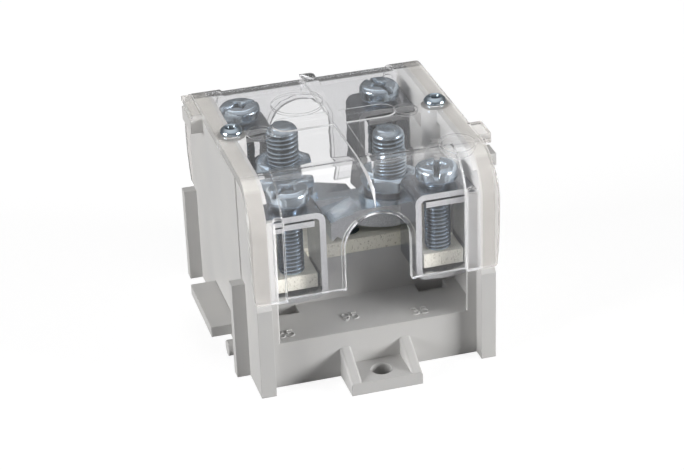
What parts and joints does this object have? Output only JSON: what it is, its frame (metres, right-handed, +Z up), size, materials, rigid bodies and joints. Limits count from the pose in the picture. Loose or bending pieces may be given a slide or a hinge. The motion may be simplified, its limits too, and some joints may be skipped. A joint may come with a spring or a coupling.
{
  "type": "power distribution block",
  "caption": "Single-pole power distribution block with a bolted saddle clamp for the main cable, frame clamps for branch cables and a clear screwed cover.",
  "frame": {"origin": "middle of the base on the mounting surface", "axes": "+X to the right seen from a cable end, +Y from the front cable end to the back one, +Z up from the mounting surface"},
  "size_m": [0.087, 0.1, 0.0707],
  "materials": {
    "housing_plastic": "fine matt light grey polyamide",
    "clear_plastic": "clear polycarbonate",
    "tinned_copper": "dull tin plating on copper alloy",
    "zinc_saddle": "bright zinc plating with a blue tint",
    "zinc_steel": "bright zinc plating",
    "cage_steel": "zinc plated strip with bare cut edges",
    "dark_steel": "dark zinc plating on spring steel"
  },
  "bodies": {
    "block": {"housing": "housing_plastic", "cover": "clear_plastic", "busbar": "tinned_copper", "cover_screw_left": "zinc_steel", "cover_screw_right": "zinc_steel", "bolt_left": "zinc_steel", "bolt_right": "zinc_steel", "bar_screw_front": "zinc_steel", "bar_screw_rear": "zinc_steel"},
    "saddle": {"saddle": "zinc_saddle", "washer_left": "zinc_steel", "washer_right": "zinc_steel", "spring_washer_left": "dark_steel", "spring_washer_right": "dark_steel"},
    "nut_left": {"nut_left": "zinc_steel"},
    "nut_right": {"nut_right": "zinc_steel"},
    "screw_front_left": {"clamp_screw_front_left": "zinc_steel"},
    "cage_front_left": {"cage_front_left": "cage_steel"},
    "screw_front_right": {"clamp_screw_front_right": "zinc_steel"},
    "cage_front_right": {"cage_front_right": "cage_steel"},
    "screw_rear_left": {"clamp_screw_rear_left": "zinc_steel"},
    "cage_rear_left": {"cage_rear_left": "cage_steel"},
    "screw_rear_right": {"clamp_screw_rear_right": "zinc_steel"},
    "cage_rear_right": {"cage_rear_right": "cage_steel"}
  },
  "joints": [
    {"name": "saddle_lift", "type": "slide", "parent": "block", "child": "saddle", "axis": [0, 0, 1], "range_m": [0, 0.011]},
    {"name": "nut_left_turn", "type": "hinge", "parent": "saddle", "child": "nut_left", "pos_m": [-0.0151, 0.0063, 0.0494], "axis": [0, 0, 1], "range_deg": [-1, 2641]},
    {"name": "nut_right_turn", "type": "hinge", "parent": "saddle", "child": "nut_right", "pos_m": [0.0151, -0.0063, 0.0494], "axis": [0, 0, 1], "range_deg": [-1, 2641]},
    {"name": "cage_front_left_travel", "type": "slide", "parent": "block", "child": "cage_front_left", "axis": [0, 0, 1], "range_m": [-0.0115, 0]},
    {"name": "clamp_screw_front_left_turn", "type": "hinge", "parent": "block", "child": "screw_front_left", "pos_m": [-0.0229, -0.0288, 0.0595], "axis": [0, 0, 1], "range_deg": [-1, 3313]},
    {"name": "cage_front_right_travel", "type": "slide", "parent": "block", "child": "cage_front_right", "axis": [0, 0, 1], "range_m": [-0.0115, 0]},
    {"name": "clamp_screw_front_right_turn", "type": "hinge", "parent": "block", "child": "screw_front_right", "pos_m": [0.0229, -0.0288, 0.0595], "axis": [0, 0, 1], "range_deg": [-1, 3313]},
    {"name": "cage_rear_left_travel", "type": "slide", "parent": "block", "child": "cage_rear_left", "axis": [0, 0, 1], "range_m": [-0.0115, 0]},
    {"name": "clamp_screw_rear_left_turn", "type": "hinge", "parent": "block", "child": "screw_rear_left", "pos_m": [-0.0229, 0.0288, 0.0595], "axis": [0, 0, 1], "range_deg": [-1, 3313]},
    {"name": "cage_rear_right_travel", "type": "slide", "parent": "block", "child": "cage_rear_right", "axis": [0, 0, 1], "range_m": [-0.0115, 0]},
    {"name": "clamp_screw_rear_right_turn", "type": "hinge", "parent": "block", "child": "screw_rear_right", "pos_m": [0.0229, 0.0288, 0.0595], "axis": [0, 0, 1], "range_deg": [-1, 3313]}
  ],
  "couplings": [
    {"joint": "nut_left_turn", "follows": "saddle_lift", "rad_per_m": 4188.8},
    {"joint": "nut_right_turn", "follows": "saddle_lift", "rad_per_m": 4188.8},
    {"joint": "clamp_screw_front_left_turn", "follows": "cage_front_left_travel", "rad_per_m": -5026.5},
    {"joint": "clamp_screw_front_right_turn", "follows": "cage_front_right_travel", "rad_per_m": -5026.5},
    {"joint": "clamp_screw_rear_left_turn", "follows": "cage_rear_left_travel", "rad_per_m": -5026.5},
    {"joint": "clamp_screw_rear_right_turn", "follows": "cage_rear_right_travel", "rad_per_m": -5026.5}
  ]
}
